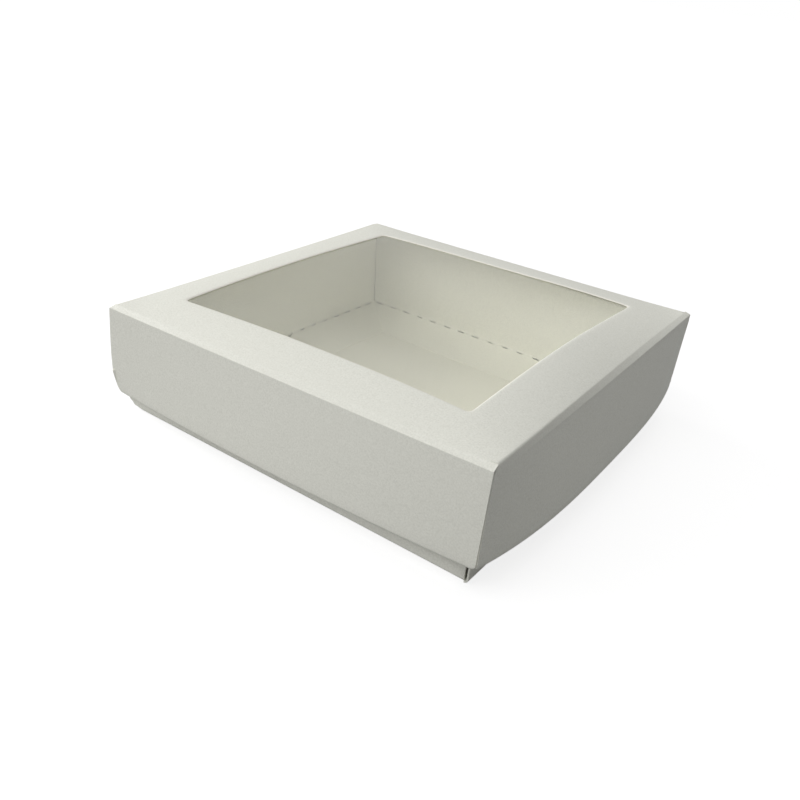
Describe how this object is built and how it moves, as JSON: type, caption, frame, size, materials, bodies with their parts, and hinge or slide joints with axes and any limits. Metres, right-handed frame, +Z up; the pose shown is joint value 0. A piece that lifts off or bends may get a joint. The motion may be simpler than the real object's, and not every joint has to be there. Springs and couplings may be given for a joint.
{
  "type": "favor box",
  "caption": "Shallow square favor box folded from white pearl card, with a rolled-wall tray and a slip-over lid whose large square window is closed by clear film.",
  "frame": {"origin": "middle of the tray's underside, on the surface that the box stands on", "axes": "+Z up, the way the lid lifts off; -Y is the front wall at the left of the picture; +X is the right wall"},
  "size_m": [0.1282, 0.1258, 0.0336],
  "materials": {
    "pearl_card": "satin pearl",
    "clear_film": "clear",
    "dry_glue": "dried clear glue"
  },
  "bodies": {
    "base": {"base_floor": "pearl_card", "base_front_wall": "pearl_card", "base_back_wall": "pearl_card", "base_left_wall": "pearl_card", "base_right_wall": "pearl_card", "base_front_lining": "pearl_card", "base_back_lining": "pearl_card", "base_left_lining": "pearl_card", "base_right_lining": "pearl_card", "base_front_foot": "pearl_card", "base_back_foot": "pearl_card", "base_left_foot": "pearl_card", "base_right_foot": "pearl_card", "base_tab_front_left": "pearl_card", "base_tab_front_right": "pearl_card", "base_tab_back_left": "pearl_card", "base_tab_back_right": "pearl_card"},
    "lid": {"lid_top_panel": "pearl_card", "lid_front_wall": "pearl_card", "lid_back_wall": "pearl_card", "lid_left_wall": "pearl_card", "lid_right_wall": "pearl_card", "lid_front_lining": "pearl_card", "lid_back_lining": "pearl_card", "lid_left_lining": "pearl_card", "lid_right_lining": "pearl_card", "lid_tab_front_left": "pearl_card", "lid_tab_front_right": "pearl_card", "lid_tab_back_left": "pearl_card", "lid_tab_back_right": "pearl_card", "window_film": "clear_film", "film_glue": "dry_glue"}
  },
  "joints": [
    {"name": "lid_lift", "type": "slide", "parent": "base", "child": "lid", "axis": [0, 0, 1], "range_m": [0, 0.04]}
  ]
}
